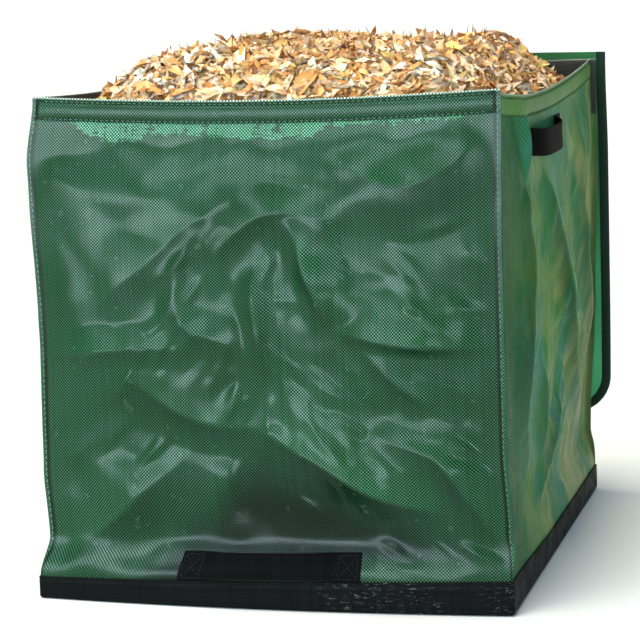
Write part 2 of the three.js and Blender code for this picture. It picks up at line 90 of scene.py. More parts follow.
WEAVE_PITCH = 0.0021  # from one woven tape to the next
WEBBING_PITCH = 0.0017
RIB_PITCH = 0.0026
TAPE_PITCH = 0.0012

# How the full bag settles on its front foot
FOOT_BOW = 0.013  # the foot line bows out in the middle
FOOT_LEAN = 0.014  # and stands further out at its left end
BAND_SLOPE = 0.0075  # the band's top edge drops at the left and rises at the right
SETTLE_TOP = 0.220  # no settling shows above this height

# The camera, fitted to the photograph's 640 x 640 frame
FRAME_PX = 640
FOCAL_PX = 2347
VIEW_AZIMUTH = math.radians(16.13)
VIEW_ELEVATION = math.radians(9.71)
VIEW_ROLL = math.radians(-1.93)
VIEW_SHIFT_PX = (15.3, -11.6)
VIEW_DISTANCE = 3.273
VIEW_TARGET = Vector((0, 0, 0.33))

# How far a wall swells between the band (0) and the rim (1), as (share up it, share of its bulge)
WALL_SWELL = [(0, 0), (0.09, -0.2), (0.24, 0.45), (0.5, 1), (0.78, 0.78), (0.92, 0.3), (1, 0.3)]

# How far each corner seam leans out, in mm, at shares of its height
CORNERS = {
    "front_left": SimpleNamespace(
        side=-1, end=-1, lift=0,
        across=[(0, 13), (0.08, -5), (0.22, 2), (0.5, -1), (0.86, 5), (1, -7)],
        along=[(0, 16), (0.09, 2), (0.3, 6), (0.7, 3), (1, 0)],
    ),
    "front_right": SimpleNamespace(
        side=1, end=-1, lift=4,
        across=[(0, 12), (0.1, 5), (0.3, 0), (0.7, -1), (1, 1)],
        along=[(0, 8), (0.09, 0), (0.3, 3), (0.7, 2), (1, 0)],
    ),
    "back_right": SimpleNamespace(
        side=1, end=1, lift=-5,
        across=[(0, 5), (0.1, -6), (0.45, 3), (0.8, 9), (1, 8)],
        along=[(0, 10), (0.1, -4), (0.4, 4), (0.8, 3), (1, 0)],
    ),
    "back_left": SimpleNamespace(
        side=-1, end=1, lift=-2,
        across=[(0, 9), (0.1, -4), (0.4, 4), (0.8, 3), (1, -3)],
        along=[(0, 10), (0.1, -4), (0.4, 4), (0.8, 3), (1, 0)],
    ),
}
MM = 0.001


def crease(crest, height, gentle, steep):
    """A crease whose crest runs through (share along the wall, share up it). The cloth falls away slowly on
    the left of its run and quickly on its right. Height and reaches are in mm."""
    return SimpleNamespace(crest=crest, height=height * MM, gentle=gentle * MM, steep=steep * MM)


FRONT_CREASES = [
    crease([(0.07, 0.52), (0.26, 0.67), (0.41, 0.77), (0.54, 0.83)], 6, 60, 60),
    crease([(0, 0.46), (0.16, 0.475), (0.36, 0.48)], 7, 38, 26),
    crease([(0.16, 0.43), (0.35, 0.34), (0.5, 0.32)], 10, 60, 45),
    crease([(0.4, 0.66), (0.48, 0.74), (0.58, 0.77), (0.7, 0.75)], 9, 36, 45),
    crease([(0.65, 0.88), (0.78, 0.82), (0.89, 0.85), (1, 0.92)], 10, 52, 75),
    crease([(0.575, 0.76), (0.61, 0.64), (0.65, 0.53)], 17, 55, 28),
    crease([(0.66, 0.52), (0.75, 0.51), (0.86, 0.5), (1, 0.49)], 15, 80, 17),
    crease([(0.7, 0.5), (0.79, 0.43), (0.87, 0.37)], 9, 40, 30),
    crease([(0.46, 0.33), (0.62, 0.25), (0.75, 0.19), (0.88, 0.13)], 24, 95, 46),
    crease([(0.73, 0.32), (0.86, 0.27), (0.92, 0.18), (1, 0.06)], 15, 45, 40),
    crease([(0.02, 0.04), (0.19, 0.15), (0.37, 0.3)], 10, 70, 80),
    crease([(0.51, 0.73), (0.49, 0.58), (0.52, 0.42)], 8, 26, 26),
    crease([(0.31, 0.65), (0.33, 0.53), (0.45, 0.49)], 8, 34, 28),
]
RIGHT_CREASES = [
    crease([(0.36, 0.84), (0.46, 0.64), (0.58, 0.42), (0.9, 0.1)], 18, 62, 44),
    crease([(0.14, 0.92), (0.2, 0.66), (0.16, 0.4), (0.22, 0.16)], 12, 50, 50),
    crease([(0.58, 0.3), (0.44, 0.18), (0.28, 0.06)], 11, 40, 34),
    crease([(0.8, 0.94), (0.74, 0.66), (0.84, 0.4), (0.8, 0.2)], 12, 48, 56),
    crease([(0.3, 0.44), (0.36, 0.3), (0.34, 0.14)], 9, 36, 34),
]
POCKET_FOLD = crease([(0.11, 0.985), (0.17, 0.93), (0.2, 0.86), (0.19, 0.79)], 15, 60, 15)
HIDDEN_CREASES = [
    crease([(0.12, 0.2), (0.34, 0.34), (0.56, 0.36)], 11, 70, 50),
    crease([(0.46, 0.6), (0.66, 0.5), (0.88, 0.52)], 11, 70, 50),
    crease([(0.2, 0.86), (0.26, 0.62), (0.22, 0.44)], 8, 55, 55),
    crease([(0.84, 0.32), (0.7, 0.22), (0.6, 0.08)], 8, 55, 50),
]
CREASE_FADE = 0.045  # over how far a crease dies out
CREASE_DEPTH = 1.2  # the fine sheet's creases stand a little higher than the solid's
CREST_POWER = 1.15  # above 1, a crest is sharp
CREASE_BEND = 0.006  # how far soft waves bend the creases
FOLD_LIGHT_HEIGHT = 0.020  # a crease as high as this gets the full painted light and shade
STRAP_PATCH = 0.045  # how far round a strap the cloth lies flat


def wall(start, finish, along, outward, length, bulge, sag, skew, creases, strap, seed):
    return SimpleNamespace(
        start=start, finish=finish, along=np.array(along), outward=np.array(outward), length=length,
        bulge=bulge * MM, sag=sag * MM, skew=skew, creases=creases, strap=strap, seed=seed,
    )


FRONT = wall("front_left", "front_right", (1, 0), (0, -1), WIDTH, 22, 8, 1, FRONT_CREASES,
             (0.5, FRONT_STRAP_Z), 3)
RIGHT = wall("front_right", "back_right", (0, 1), (1, 0), DEPTH, 14, 20, 0.75, RIGHT_CREASES,
             (0.4, SIDE_STRAP_Z), 5)
BACK = wall("back_right", "back_left", (-1, 0), (0, 1), WIDTH, 12, 5, 1, HIDDEN_CREASES, None, 8)
LEFT = wall("back_left", "front_left", (0, -1), (-1, 0), DEPTH, 16, 12, 1, HIDDEN_CREASES,
            (0.5, SIDE_STRAP_Z), 13)


# Shape helpers

def smoothstep(value, low, high):
    t = np.clip((value - low) / (high - low), 0, 1)
    return t * t * (3 - 2 * t)


def mix(a, b, share):
    return a + (b - a) * share


def blend(a, b, share):
    """A colour at each point, from one share each."""
    return mix(a, b, share[..., None])


def unit(vectors):
    return vectors / np.linalg.norm(vectors, axis=-1, keepdims=True)


def through(knots, place):
    """The value at a place on a smooth line through (place, value) knots."""
    places, values = np.array(knots, float).T
    i = np.clip(np.searchsorted(places, place) - 1, 0, len(places) - 2)
    return mix(values[i], values[i + 1], smoothstep(place, places[i], places[i + 1]))


def waves(x, y, length, seed):
    """Soft repeatable noise from -1 to 1: a few crossing waves about length apart."""
    rng = np.random.default_rng(seed)
    total = 0
    for _ in range(6):
        angle, phase = rng.uniform(0, 2 * math.pi, 2)
        pitch = length * rng.uniform(0.6, 1.6)
        total = total + np.sin((x * math.cos(angle) + y * math.sin(angle)) * 2 * math.pi / pitch + phase)
    return total / 6


def rise(z):
    return np.clip((z - BAND) / (HEIGHT - BAND), 0, 1)


def seam(name, z):
    """Where a corner seam's stitching stands at a height."""
    corner, share = CORNERS[name], rise(z)
    x = corner.side * (WIDTH / 2 + through(corner.across, share) * MM)
    y = corner.end * (DEPTH / 2 + through(corner.along, share) * MM)
    return np.stack([x, y], -1)


def rim(w, s):
    lift = mix(CORNERS[w.start].lift, CORNERS[w.finish].lift, s) * MM
    return HEIGHT + lift - w.sag * np.sin(math.pi * s ** w.skew)


def swell(w, s, z):
    return w.bulge * (1 - (2 * s - 1) ** 4) * through(WALL_SWELL, rise(z))


def crest_points(w, c):
    """The crest as a smooth line, in metres along and up the wall."""
    knots = np.array(c.crest, float) * (w.length, HEIGHT - BAND) + (0, BAND)
    padded = np.vstack([2 * knots[0] - knots[1], knots, 2 * knots[-1] - knots[-2]])
    line = []
    for a, b, c1, d in zip(padded, padded[1:], padded[2:], padded[3:]):
        for t in np.linspace(0, 1, 5)[:-1]:
            line.append(0.5 * (2 * b + (c1 - a) * t + (2 * a - 5 * b + 4 * c1 - d) * t ** 2
                               + (3 * b - a - 3 * c1 + d) * t ** 3))
    return np.array(line + [knots[-1]])


def crease_share(w, c, along, z):
    """How much of a crease's height stands at each place, and how far the place lies left of its run."""
    points = crest_points(w, c)
    nearest = np.full(along.shape, 1e9)
    side = np.zeros(along.shape)
    run = np.zeros(along.shape)
    for i, (a, b) in enumerate(zip(points, points[1:])):
        leg = b - a
        x, y = along - a[0], z - a[1]
        t = np.clip((x * leg[0] + y * leg[1]) / (leg @ leg), 0, 1)
        distance = np.hypot(x - t * leg[0], y - t * leg[1])
        closer = distance < nearest
        nearest = np.where(closer, distance, nearest)
        side = np.where(closer, (leg[0] * y - leg[1] * x) / np.hypot(*leg), side)
        run = np.where(closer, (i + t) / (len(points) - 1), run)
    slope = np.maximum(0, 1 - nearest / np.where(side > 0, c.gentle, c.steep))
    return np.sin(math.pi * run) * slope ** CREST_POWER, side


def crease_height(w, c, along, z):
    return c.height * crease_share(w, c, along, z)[0]


# Which way the small creases of a wall run, as (share along it, angle), low and high on it
LOW_GRAIN = [(0, 0.6), (0.3, 0.75), (0.42, 1.4), (0.58, 2.05), (0.7, 2.45), (1, 2.6)]
HIGH_GRAIN = [(0, 0.65), (0.42, 0.6), (0.55, 0), (0.7, -0.35), (1, 0.4)]


def small_creases(w, count):
    """Short sharp crumples that fan out from the middle of the wall."""
    rng = np.random.default_rng(w.seed)
    made = []
    for _ in range(count):
        s = np.clip(rng.normal(0.58, 0.22), 0.04, 0.96)
        up = np.clip(rng.normal(0.38, 0.2), 0.05, 0.95)
        grain = mix(through(LOW_GRAIN, s), through(HIGH_GRAIN, s), smoothstep(up, 0.6, 0.8))
        angle = grain + rng.normal(0, 0.25)
        half = rng.uniform(0.025, 0.10)
        step = np.array([math.cos(angle), math.sin(angle)]) * half
        bow = rng.normal(0, 0.012)
        made.append(crease([(s - step[0], up - step[1]), (s + bow, up + bow), (s + step[0], up + step[1])],
                           rng.uniform(0.8, 3.6), rng.uniform(9, 26), rng.uniform(6, 14)))
    return made


def crumple(w, along, z):
    """Facets of handled cloth: straight fold lines at many angles, laid over each other in patches."""
    rng = np.random.default_rng(w.seed + 50)
    total = 0
    for _ in range(14):
        angle, phase = rng.uniform(0, 2 * math.pi, 2)
        pitch = rng.uniform(0.05, 0.15)
        place = (along * math.cos(angle) + z * math.sin(angle)) / pitch + phase
        place = place + 0.25 * waves(along, z, 0.16, rng.integers(1000))
        fold = 2 * np.abs(2 * (place - np.floor(place + 0.5))) - 1
        patch = smoothstep(waves(along, z, 0.24, rng.integers(1000)), -0.15, 0.35)
        total = total + fold * patch * pitch * rng.uniform(0.003, 0.010)
    return total


def away_from_strap(w, s, z):
    if w.strap is None:
        return 1
    beside = np.abs(s - w.strap[0]) * w.length - STRAP_LENGTH / 2
    above = np.abs(z - w.strap[1]) - STRAP_WIDTH / 2
    return smoothstep(np.maximum(beside, above), STRAP_PATCH * 0.2, STRAP_PATCH * 1.2)


def crumpled_place(w, s, z):
    """Where a point of the wall lies along and up it, bent a little so that no crease runs straight."""
    along = s * w.length
    bent = along + CREASE_BEND * waves(along, z, 0.11, w.seed)
    return bent, z + CREASE_BEND * waves(along, z, 0.13, w.seed + 1)


def creases(w, s, z, crumples):
    """All the creases of a wall, dying out at its seams, band, hem and strap."""
    along, up = crumpled_place(w, s, z)
    fade = smoothstep(np.minimum(s, 1 - s) * w.length, 0, CREASE_FADE)
    fade = fade * smoothstep(z, BAND, BAND + CREASE_FADE)
    fade = fade * smoothstep(rim(w, s) - HEM - z, -0.01, CREASE_FADE) * away_from_strap(w, s, z)
    main = sum(crease_height(w, c, along, up) for c in w.creases)
    fine = sum(crease_height(w, c, along, up) for c in small_creases(w, crumples))
    pocket = crease_height(w, POCKET_FOLD, along, up) if w is RIGHT else 0
    return pocket + CREASE_DEPTH * main * fade + (fine + crumple(w, along, up)) * np.sqrt(fade)


def fold_painted_light(w, s, z):
    """Above 0 on a crease's gentle side, which gets a painted highlight, and below 0 on its steep side, which
    gets painted shade.
    """
    along, up = crumpled_place(w, s, z)
    wear_and_fold_light = 0
    for c in w.creases:
        share, side = crease_share(w, c, along, up)
        wear_and_fold_light = wear_and_fold_light + share * mix(-1.0, 0.5, smoothstep(side, -0.006, 0.004)) * c.height / FOLD_LIGHT_HEIGHT
    return wear_and_fold_light


def on_wall(w, s, z, out):
    """Points of a wall's swollen face at shares along it and heights, a distance outside it."""
    s, z, out = np.broadcast_arrays(s, z, out)
    flat = mix(seam(w.start, z), seam(w.finish, z), s[..., None])
    flat = flat + w.outward * (swell(w, s, z) + out)[..., None]
    return np.concatenate([flat, z[..., None]], -1)


def settle(points):
    """The full bag's weight spreads its front foot: the foot line bows and leans out, and the band tilts."""
    x, y, z = np.moveaxis(np.asarray(points, float), -1, 0)
    across = x / (WIDTH / 2)
    share = smoothstep(-y, 0, DEPTH / 2) * (1 - smoothstep(z, 2 * BAND, SETTLE_TOP))
    out = FOOT_BOW * (1 - across ** 2) + FOOT_LEAN * (1 - across) / 2
    up = BAND_SLOPE * across * np.clip(z / BAND, 0, 1)
    return np.stack([x, y - share * out, z + share * up], -1)


# Meshes

def new_object(name, data, materials=()):
    thing = bpy.data.objects.new(name, data)
    bpy.context.scene.collection.objects.link(thing)
    for material in materials:
        data.materials.append(material)
    return thing


def make_mesh(name, points, faces, materials, uv=None, tint=None, slots=None, bottom=None):
    """A smooth settled mesh from points and quads, with uv in metres and a colour at each point. A bottom is
    one more face with any number of corners."""
    mesh = bpy.data.meshes.new(name)
    points = settle(np.reshape(points, (-1, 3)))
    mesh.from_pydata(points.tolist(), [], faces.tolist() + ([bottom] if bottom else []))
    mesh.polygons.foreach_set("use_smooth", np.ones(len(mesh.polygons), bool))
    if uv is not None:
        corners = np.zeros(len(mesh.loops), np.int32)
        mesh.loops.foreach_get("vertex_index", corners)
        layer = mesh.uv_layers.new(name="cloth")
        layer.data.foreach_set("uv", np.asarray(uv, np.float32).reshape(-1, 2)[corners].reshape(-1))
    if tint is not None:
        colours = mesh.color_attributes.new("tint", "FLOAT_COLOR", "POINT")
        colours.data.foreach_set("color", np.asarray(tint, np.float32).reshape(-1))
    if slots is not None:
        mesh.polygons.foreach_set("material_index", np.asarray(slots, np.int32))
    mesh.update()
    return new_object(name, mesh, materials)


def enter(piece, slot, *nodes):
    """Enter a piece in the frame: the solids it takes the place of, and its body. The material slot is not
    used.
    """
    if nodes:
        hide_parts(*nodes)
    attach(piece, "root")


def run_along(line):
    """How far along a line each of its points lies."""
    return np.concatenate([[0], np.cumsum(np.linalg.norm(np.diff(line, axis=0), axis=1))])


def grid_faces(rows, columns, closed=False):
    """Quads between neighbouring rows and columns. A closed grid joins its last column to its first."""
    across = np.arange(columns if closed else columns - 1)
    row, column = np.meshgrid(np.arange(rows - 1), across, indexing="ij")
    after = (column + 1) % columns
    near, far = row * columns, (row + 1) * columns
    quads = [near + column, near + after, far + after, far + column]
    return np.stack(quads, -1).reshape(-1, 4)


# Materials

THIN_GREEN = (0.029, 0.140, 0.060, 1)  # cloth with the light behind it


class Nodes:
    """Short ways to add nodes to a tree."""

    def __init__(self, tree):
        self.nodes = tree.nodes
        self.links = tree.links

    def feed(self, socket, value):
        if isinstance(value, bpy.types.NodeSocket):
            self.links.new(value, socket)
        else:
            socket.default_value = value

    def add(self, kind, inputs, **settings):
        """The outputs of a new node, with its inputs fed by name or number."""
        node = self.nodes.new("ShaderNode" + kind)
        for name, value in settings.items():
            setattr(node, name, value)
        for key, value in inputs.items():
            self.feed(node.inputs[key], value)
        return node.outputs

    def math(self, operation, *values, clamp=False):
        return self.add("Math", dict(enumerate(values)), operation=operation, use_clamp=clamp)[0]

    def mix(self, factor, a, b, blend="MIX"):
        """A mix of colours. The numbers are the places of the node's colour sockets."""
        return self.add("Mix", {0: factor, 6: a, 7: b}, data_type="RGBA", blend_type=blend)[2]

    def noise(self, vector, scale, detail=3.0, roughness=0.55):
        inputs = {"Vector": vector, "Scale": scale, "Detail": detail, "Roughness": roughness}
        return self.add("TexNoise", inputs)[0]

    def remap(self, value, low, high, to_low, to_high):
        return self.add("MapRange", dict(enumerate((value, low, high, to_low, to_high))))[0]

    def random(self, value):
        return self.add("TexWhiteNoise", {"W": value}, noise_dimensions="1D")[0]

    def grey(self, value):
        return self.add("CombineColor", dict.fromkeys(range(3), value))[0]

    def stretched(self, vector, scale):
        return self.add("Mapping", {"Vector": vector, "Scale": scale})[0]

    def split(self, vector):
        return self.add("SeparateXYZ", {0: vector})


class Shader(Nodes):
    """A material and its node tree."""

    def __init__(self, name, roughness=0.5, specular=0.5):
        self.material = bpy.data.materials.new(name)
        self.material.use_nodes = True
        super().__init__(self.material.node_tree)
        self.surface = self.nodes["Principled BSDF"]
        self.surface.inputs["Roughness"].default_value = roughness
        self.surface.inputs["Specular IOR Level"].default_value = specular

    def tint(self):
        return self.add("Attribute", {}, attribute_name="tint")

    def uv(self):
        uv = self.add("UVMap", {}, uv_map="cloth")[0]
        x, y, _ = self.split(uv)
        return uv, x, y

    def place(self):
        return self.add("TexCoord", {})["Object"]

    def bump(self, height, distance):
        return self.add("Bump", {"Strength": 1.0, "Distance": distance, "Height": height})[0]

    def finish(self, colour, normal=None, roughness=None, specular=None):
        self.feed(self.surface.inputs["Base Color"], colour)
        for name, value in (("Normal", normal), ("Roughness", roughness), ("Specular IOR Level", specular)):
            if value is not None:
                self.links.new(value, self.surface.inputs[name])
        return self.material


# A tape's section is nearly square across it, and round along it where it dives under the next
TAPE_ACROSS = 5.0
TAPE_ALONG = 2.0


def plain_weave(shader, pitch):
    """Heights of flat tapes woven over and under, a random shade for each tape, and 1 where the tapes that
    run up lie on top."""
    calc = shader.math
    _, u, v = shader.uv()
    p, q = calc("DIVIDE", u, pitch), calc("DIVIDE", v, pitch)
    i, j = calc("FLOOR", p), calc("FLOOR", q)
    over = calc("FLOORED_MODULO", calc("ADD", i, j), 2.0)
    under = calc("SUBTRACT", 1.0, over)

    def crown(place, power):
        centred = calc("MULTIPLY_ADD", calc("FRACT", place), 2.0, -1.0)
        return calc("SUBTRACT", 1.0, calc("POWER", calc("ABSOLUTE", centred), power))

    def on_top(up, cross):
        return calc("MULTIPLY_ADD", up, over, calc("MULTIPLY", cross, under))

    up = calc("MULTIPLY", crown(p, TAPE_ACROSS), crown(q, TAPE_ALONG))
    cross = calc("MULTIPLY", crown(q, TAPE_ACROSS), crown(p, TAPE_ALONG))
    shade = on_top(shader.random(i), shader.random(calc("ADD", j, 0.37)))
    return on_top(up, cross), shade, over


def woven_cloth(name, roughness, relief, contrast, specular):
    """Woven plastic tape in the piece's own tint. The tapes that run up shine more than those that cross, by
    the contrast, and a painted sheen makes them lighter, with painted shade where the tapes dip under. Where
    the tint's fourth value is high no leaves lie behind the cloth, and the light that comes through is
    painted as a brighter green, to a ragged edge."""
    shader = Shader(name)
    height, shade, over = plain_weave(shader, WEAVE_PITCH)
    tint, uv = shader.tint(), shader.uv()[0]
    ragged = shader.noise(shader.stretched(uv, (60.0, 380.0, 1.0)), 1.0, 3.0, 0.7)
    jagged = shader.noise(shader.stretched(uv, (52.0, 12.0, 1.0)), 1.0, 5.0, 0.75)
    edge = shader.math("ADD", ragged, shader.math("MULTIPLY_ADD", jagged, 1.5, tint["Alpha"]))
    bare = shader.remap(edge, 2.06, 2.16, 0.0, 0.9)
    colour = shader.mix(bare, tint["Color"], THIN_GREEN)
    # Painted sheen and shade: the tapes that run up are made lighter, those that cross darker, and every tape
    # darker towards its dips. The shade of each tape is its own tone.
    light = shader.math("MULTIPLY_ADD", over, 1.8 * contrast, 1 - 0.9 * contrast)
    light = shader.math("MULTIPLY", light, shader.remap(height, 0, 1, 0.45, 1.1))
    light = shader.math("MULTIPLY", light, shader.remap(shade, 0, 1, 0.9, 1.1))
    colour = shader.mix(1.0, colour, shader.grey(light), "MULTIPLY")
    wear_and_fold_light = shader.noise(shader.place(), 60.0, 4.0)
    rough = shader.remap(wear_and_fold_light, 0.3, 0.75, roughness - 0.05, roughness + 0.10)
    shine = shader.remap(over, 0, 1, specular * (1 - contrast), specular * (1 + contrast))
    return shader.finish(colour, shader.bump(height, relief), rough, shine)


def plain_cloth(name, pitch, dark, pale, specular):
    """Small-patterned cloth, each tape of its own shade."""
    shader = Shader(name, roughness=0.55, specular=specular)
    height, shade, _ = plain_weave(shader, pitch)
    return shader.finish(shader.mix(shade, dark, pale), shader.bump(height, 0.0003))


def base_cloth():
    """Black coated cloth, scratched pale where the bag has been dragged."""
    shader = Shader("base_cloth", specular=0.035)
    place = shader.place()
    height, shade, _ = plain_weave(shader, WEAVE_PITCH * 1.15)
    colour = shader.mix(shade, (0.0015, 0.002, 0.002, 1), (0.004, 0.0048, 0.005, 1))
    scratch = shader.noise(shader.stretched(place, (90.0, 90.0, 420.0)), 1.0, 5.0, 0.75)
    dragged = shader.noise(place, 7.0, 2.0)
    scratch = shader.remap(scratch, 0.58, 0.72, 0, 0.8)
    mark = shader.math("MULTIPLY", scratch, shader.remap(dragged, 0.52, 0.66, 0, 1))
    colour = shader.mix(mark, colour, (0.22, 0.22, 0.21, 1))
    rough = shader.remap(shader.noise(place, 35.0, 4.0), 0.3, 0.7, 0.34, 0.6)
    return shader.finish(colour, shader.bump(height, 0.00015), rough)


def webbing():
    """Flat woven strap with close ribs across it."""
    shader = Shader("webbing", roughness=0.6, specular=0.03)
    height, shade, _ = plain_weave(shader, WEBBING_PITCH)
    rib = shader.math("SINE", shader.math("MULTIPLY", shader.uv()[1], 2 * math.pi / RIB_PITCH))
    height = shader.math("MULTIPLY_ADD", rib, 0.35, height)
    # The colour darkens with the height of the ribs and tapes: painted shade in their dips.
    colour = shader.mix(shader.math("MULTIPLY", shade, height, clamp=True),
                        (0.001, 0.0012, 0.0012, 1), (0.005, 0.0058, 0.006, 1))
    return shader.finish(colour, shader.bump(height, 0.0003))


def thread(name, dark, pale):
    shader = Shader(name, roughness=0.5, specular=0.15)
    fibre = shader.noise(shader.place(), 900.0, 2.0)
    return shader.finish(shader.mix(fibre, dark, pale))


def dry_leaf():
    """Leaves in their own tint, mottled and veined, with pale patches."""
    shader = Shader("dry_leaf", roughness=0.62, specular=0.35)
    place = shader.place()
    mottle = shader.noise(place, 170.0, 5.0, 0.65)
    spots = shader.remap(mottle, 0.55, 0.78, 0, 0.5)
    colour = shader.mix(spots, shader.tint()["Color"], (0.42, 0.16, 0.025, 1))
    pale = shader.remap(shader.noise(place, 90.0, 4.0), 0.52, 0.72, 0, 0.6)
    colour = shader.mix(pale, colour, (0.96, 0.74, 0.52, 1))
    _, u, v = shader.uv()
    vein = shader.math("SINE", shader.math("MULTIPLY_ADD", v, 2600.0, shader.math("MULTIPLY", u, 900.0)))
    height = shader.math("MULTIPLY_ADD", vein, 0.2, mottle)
    return shader.finish(colour, shader.bump(height, 0.0012))


# Broken leaves in their own orange-brown, made bright to stand in for the glow of light through leaves in the
# heap's shade: partly their colour, partly painted light.
def leaf_mould_and_glow():
    shader = Shader("leaf_mould_and_glow", roughness=0.85, specular=0.2)
    place = shader.place()
    colour = shader.mix(shader.noise(place, 120.0, 6.0, 0.7), (0.42, 0.17, 0.04, 1), (0.80, 0.46, 0.19, 1))
    return shader.finish(colour, shader.bump(shader.noise(place, 150.0, 5.0), 0.004))


# Walls

GREEN = np.array([0.0082, 0.038, 0.0135])
GREEN_LIGHT = np.array([0.0142, 0.055, 0.0255])
SIDE_GREEN = np.array([0.035, 0.185, 0.066])
SKY_GLINT_TEAL = np.array([0.045, 0.22, 0.14])
OLIVE = np.array([0.11, 0.24, 0.065])
TAN = np.array([0.27, 0.32, 0.125])
RIM_HIGHLIGHT = np.array([0.36, 0.46, 0.36])

# Rows of points below the rim: those of the hem, and (depth, distance inside the face) of the lining's
HEM_ROWS = np.array([36, 33, 31, 29.5, 28.4, 27.5, 27, 26.5, 25.6, 24, 21, 17, 13, 9.5, 7.5, 6.2, 5.4, 5,
                     4.6, 3.8, 2.6, 1.4, 0.5, 0]) * MM
FOLD_ROWS = np.array([(0.1, 0.5), (0.5, 1.4), (1.5, 2.2), (4, 2.5), (9, 2.6), (18, 2.6), (30, 2.4), (45, 2.4),
                      (62, 2.4), (LINING / MM, 2.4)]) * MM
STITCH_LINES = (0.027, 0.005)  # below the rim
HEM_PUFF = 0.0011
STITCH_PULL = 0.0013
PUCKER_PITCH = 0.011
FIN_WAVE = 0.0010


def hem_relief(w, s, below):
    """The hem puffs out between its two stitch lines, which pucker the cloth."""
    low, high = STITCH_LINES
    puff = HEM_PUFF * np.sin(math.pi * np.clip((low - below) / (low - high), 0, 1))
    wander = 2 * waves(s, below, 0.3, w.seed)
    pucker = 0.75 + 0.25 * np.sin(s * w.length * 2 * math.pi / PUCKER_PITCH + wander)
    pull = sum(np.exp(-((below - line) / 0.0014) ** 2) for line in STITCH_LINES)
    return puff - STITCH_PULL * pull * pucker


def fin_width(z):
    return mix(GAP, SEAM_FIN, smoothstep(z, BAND, BAND + CREASE_FADE))


# How deep the bare strip under the hem is, as (share along a wall, share of BARE_DEPTH)
BARE_SHARE = [(0, 0.2), (0.07, 0.4), (0.14, 1.1), (0.22, 1.3), (0.32, 0.8), (0.44, 1), (0.6, 1.15),
              (0.67, 0.4), (0.8, 0.55), (1, 0.3)]
BARE_DEPTH = 0.024


def bare_cloth(w, s, below):
    """How far the cloth stands clear of the leaves, from 0 to 1: most just under the hem."""
    depth = BARE_DEPTH * through(BARE_SHARE, s) + 0.006 * waves(s, s * 0, 0.14, w.seed)
    clear = np.clip(0.5 + (HEM + depth - below) / 0.026, 0, 1)
    return clear * smoothstep(below, HEM - 0.003, HEM)


def blotches(x, z, seed):
    return waves(x, z, 0.15, seed) + 0.55 * waves(x, z, 0.06, seed + 1) + 0.35 * waves(x, z, 0.025, seed + 2)


def side_tint(w, s, z, below):
    """Light from behind is painted into the right wall: olive and tan where it is thin, dark where leaves
    press on it, with painted shade near its front edge and painted teal reflections of the sky in patches.
    """
    along, z = s * w.length, z * 0.55
    olive = smoothstep(blotches(along, z, 61), -0.2, 0.4)
    # Painted reflections of the sky, teal, in patches on the front half of the wall.
    sky_glint = smoothstep(blotches(along, z, 71), 0.1, 0.65) * (1 - smoothstep(s, 0.5, 0.85))
    tan = smoothstep(blotches(along, z, 81) + 1.3 * (s - 0.62) - 2.0 * (z - 0.165), 0, 0.6)
    tint = blend(SIDE_GREEN, OLIVE, olive)
    tint = blend(tint, TAN, 0.8 * tan)
    tint = blend(tint, SKY_GLINT_TEAL, sky_glint)
    shaded = 1 - smoothstep(s + 0.05 * blotches(s, z, 91), 0.05, 0.3)
    tint = blend(tint, SIDE_GREEN * 0.45, 0.85 * shaded)
    hem = 1 - smoothstep(below, HEM - 0.003, HEM)
    return blend(tint, OLIVE, 0.8 * hem)


# The painted shade over the lower middle of the front, as (share along it, share up it) of its upper edge
FRONT_SHADE_EDGE = [(0.16, 0.0), (0.33, 0.15), (0.47, 0.27), (0.62, 0.235), (0.75, 0.17), (0.87, 0.11), (1, 0.03)]


def painted_front_shade(s, z):
    """How much painted shade darkens the front: most in its lower middle, where it hangs in its own shade."""
    edge = through(FRONT_SHADE_EDGE, s + 0.03 * waves(s, z, 0.3, 95))
    # The foot at the right is kept out of the painted shade.
    unshaded_foot = smoothstep(s, 0.6, 0.72) * (1 - smoothstep(rise(z), 0.02, 0.07))
    return smoothstep(edge - rise(z), -0.03, 0.11) * (1 - unshaded_foot)


def wall_tint(w, s, z, below, fin):
    """The dyed cloth with its seam lines and rim edge, with painted light and shade on its folds, painted
    shade over the front's lower middle and a painted highlight along the rim. The fourth value says where it
    stands clear.
    """
    patch = 0.5 + 0.5 * waves(s * w.length, z, 0.16, w.seed + 2)
    tint = side_tint(w, s, z, below) if w is RIGHT else blend(GREEN, GREEN_LIGHT, patch)
    # Painted light and shade on the folds: lighter on their gentle sides, darker on their steep sides.
    contrast = 1.15 if w is RIGHT else 0.75
    tint = tint * np.exp(contrast * np.clip(fold_painted_light(w, s, z), -1, 0.7))[..., None]
    # Painted shade over the front's lower middle.
    if w is FRONT:
        tint = tint * (1 - 0.75 * painted_front_shade(s, z))[..., None]
    from_seam = np.minimum(s, 1 - s) * w.length
    groove = np.exp(-(from_seam / 0.0018) ** 2) * (np.abs(fin) < 0.3)
    tint = tint * (1 - 0.75 * groove[..., None])
    tint = blend(tint, GREEN_LIGHT * 1.5, 0.6 * smoothstep(np.abs(fin), 0.2, 0.6))
    stitched = sum(np.exp(-((below - line) / 0.0012) ** 2) for line in STITCH_LINES)
    tint = tint * (1 - 0.65 * np.clip(stitched, 0, 1)[..., None])
    # A painted highlight along the rim's folded edge.
    tint = blend(tint, RIM_HIGHLIGHT, 0.85 * (1 - smoothstep(below, 0.0006, 0.0022)))
    clear = bare_cloth(w, s, below) * (w is not RIGHT)
    return np.concatenate([tint, clear[..., None]], -1)


def panel_rows(w, s, spacing):
    """Heights of a wall's rows of points: up its face, through its hem and down its lining."""
    top = rim(w, s)[None, :]
    lower = np.linspace(0, 1, round((HEIGHT - HEM) / spacing))[:-1, None]
    face = mix(BASE_CLOTH + GAP, top - HEM_ROWS[0], lower)
    return np.vstack([face, top - HEM_ROWS[:, None], top - FOLD_ROWS[:, :1]])


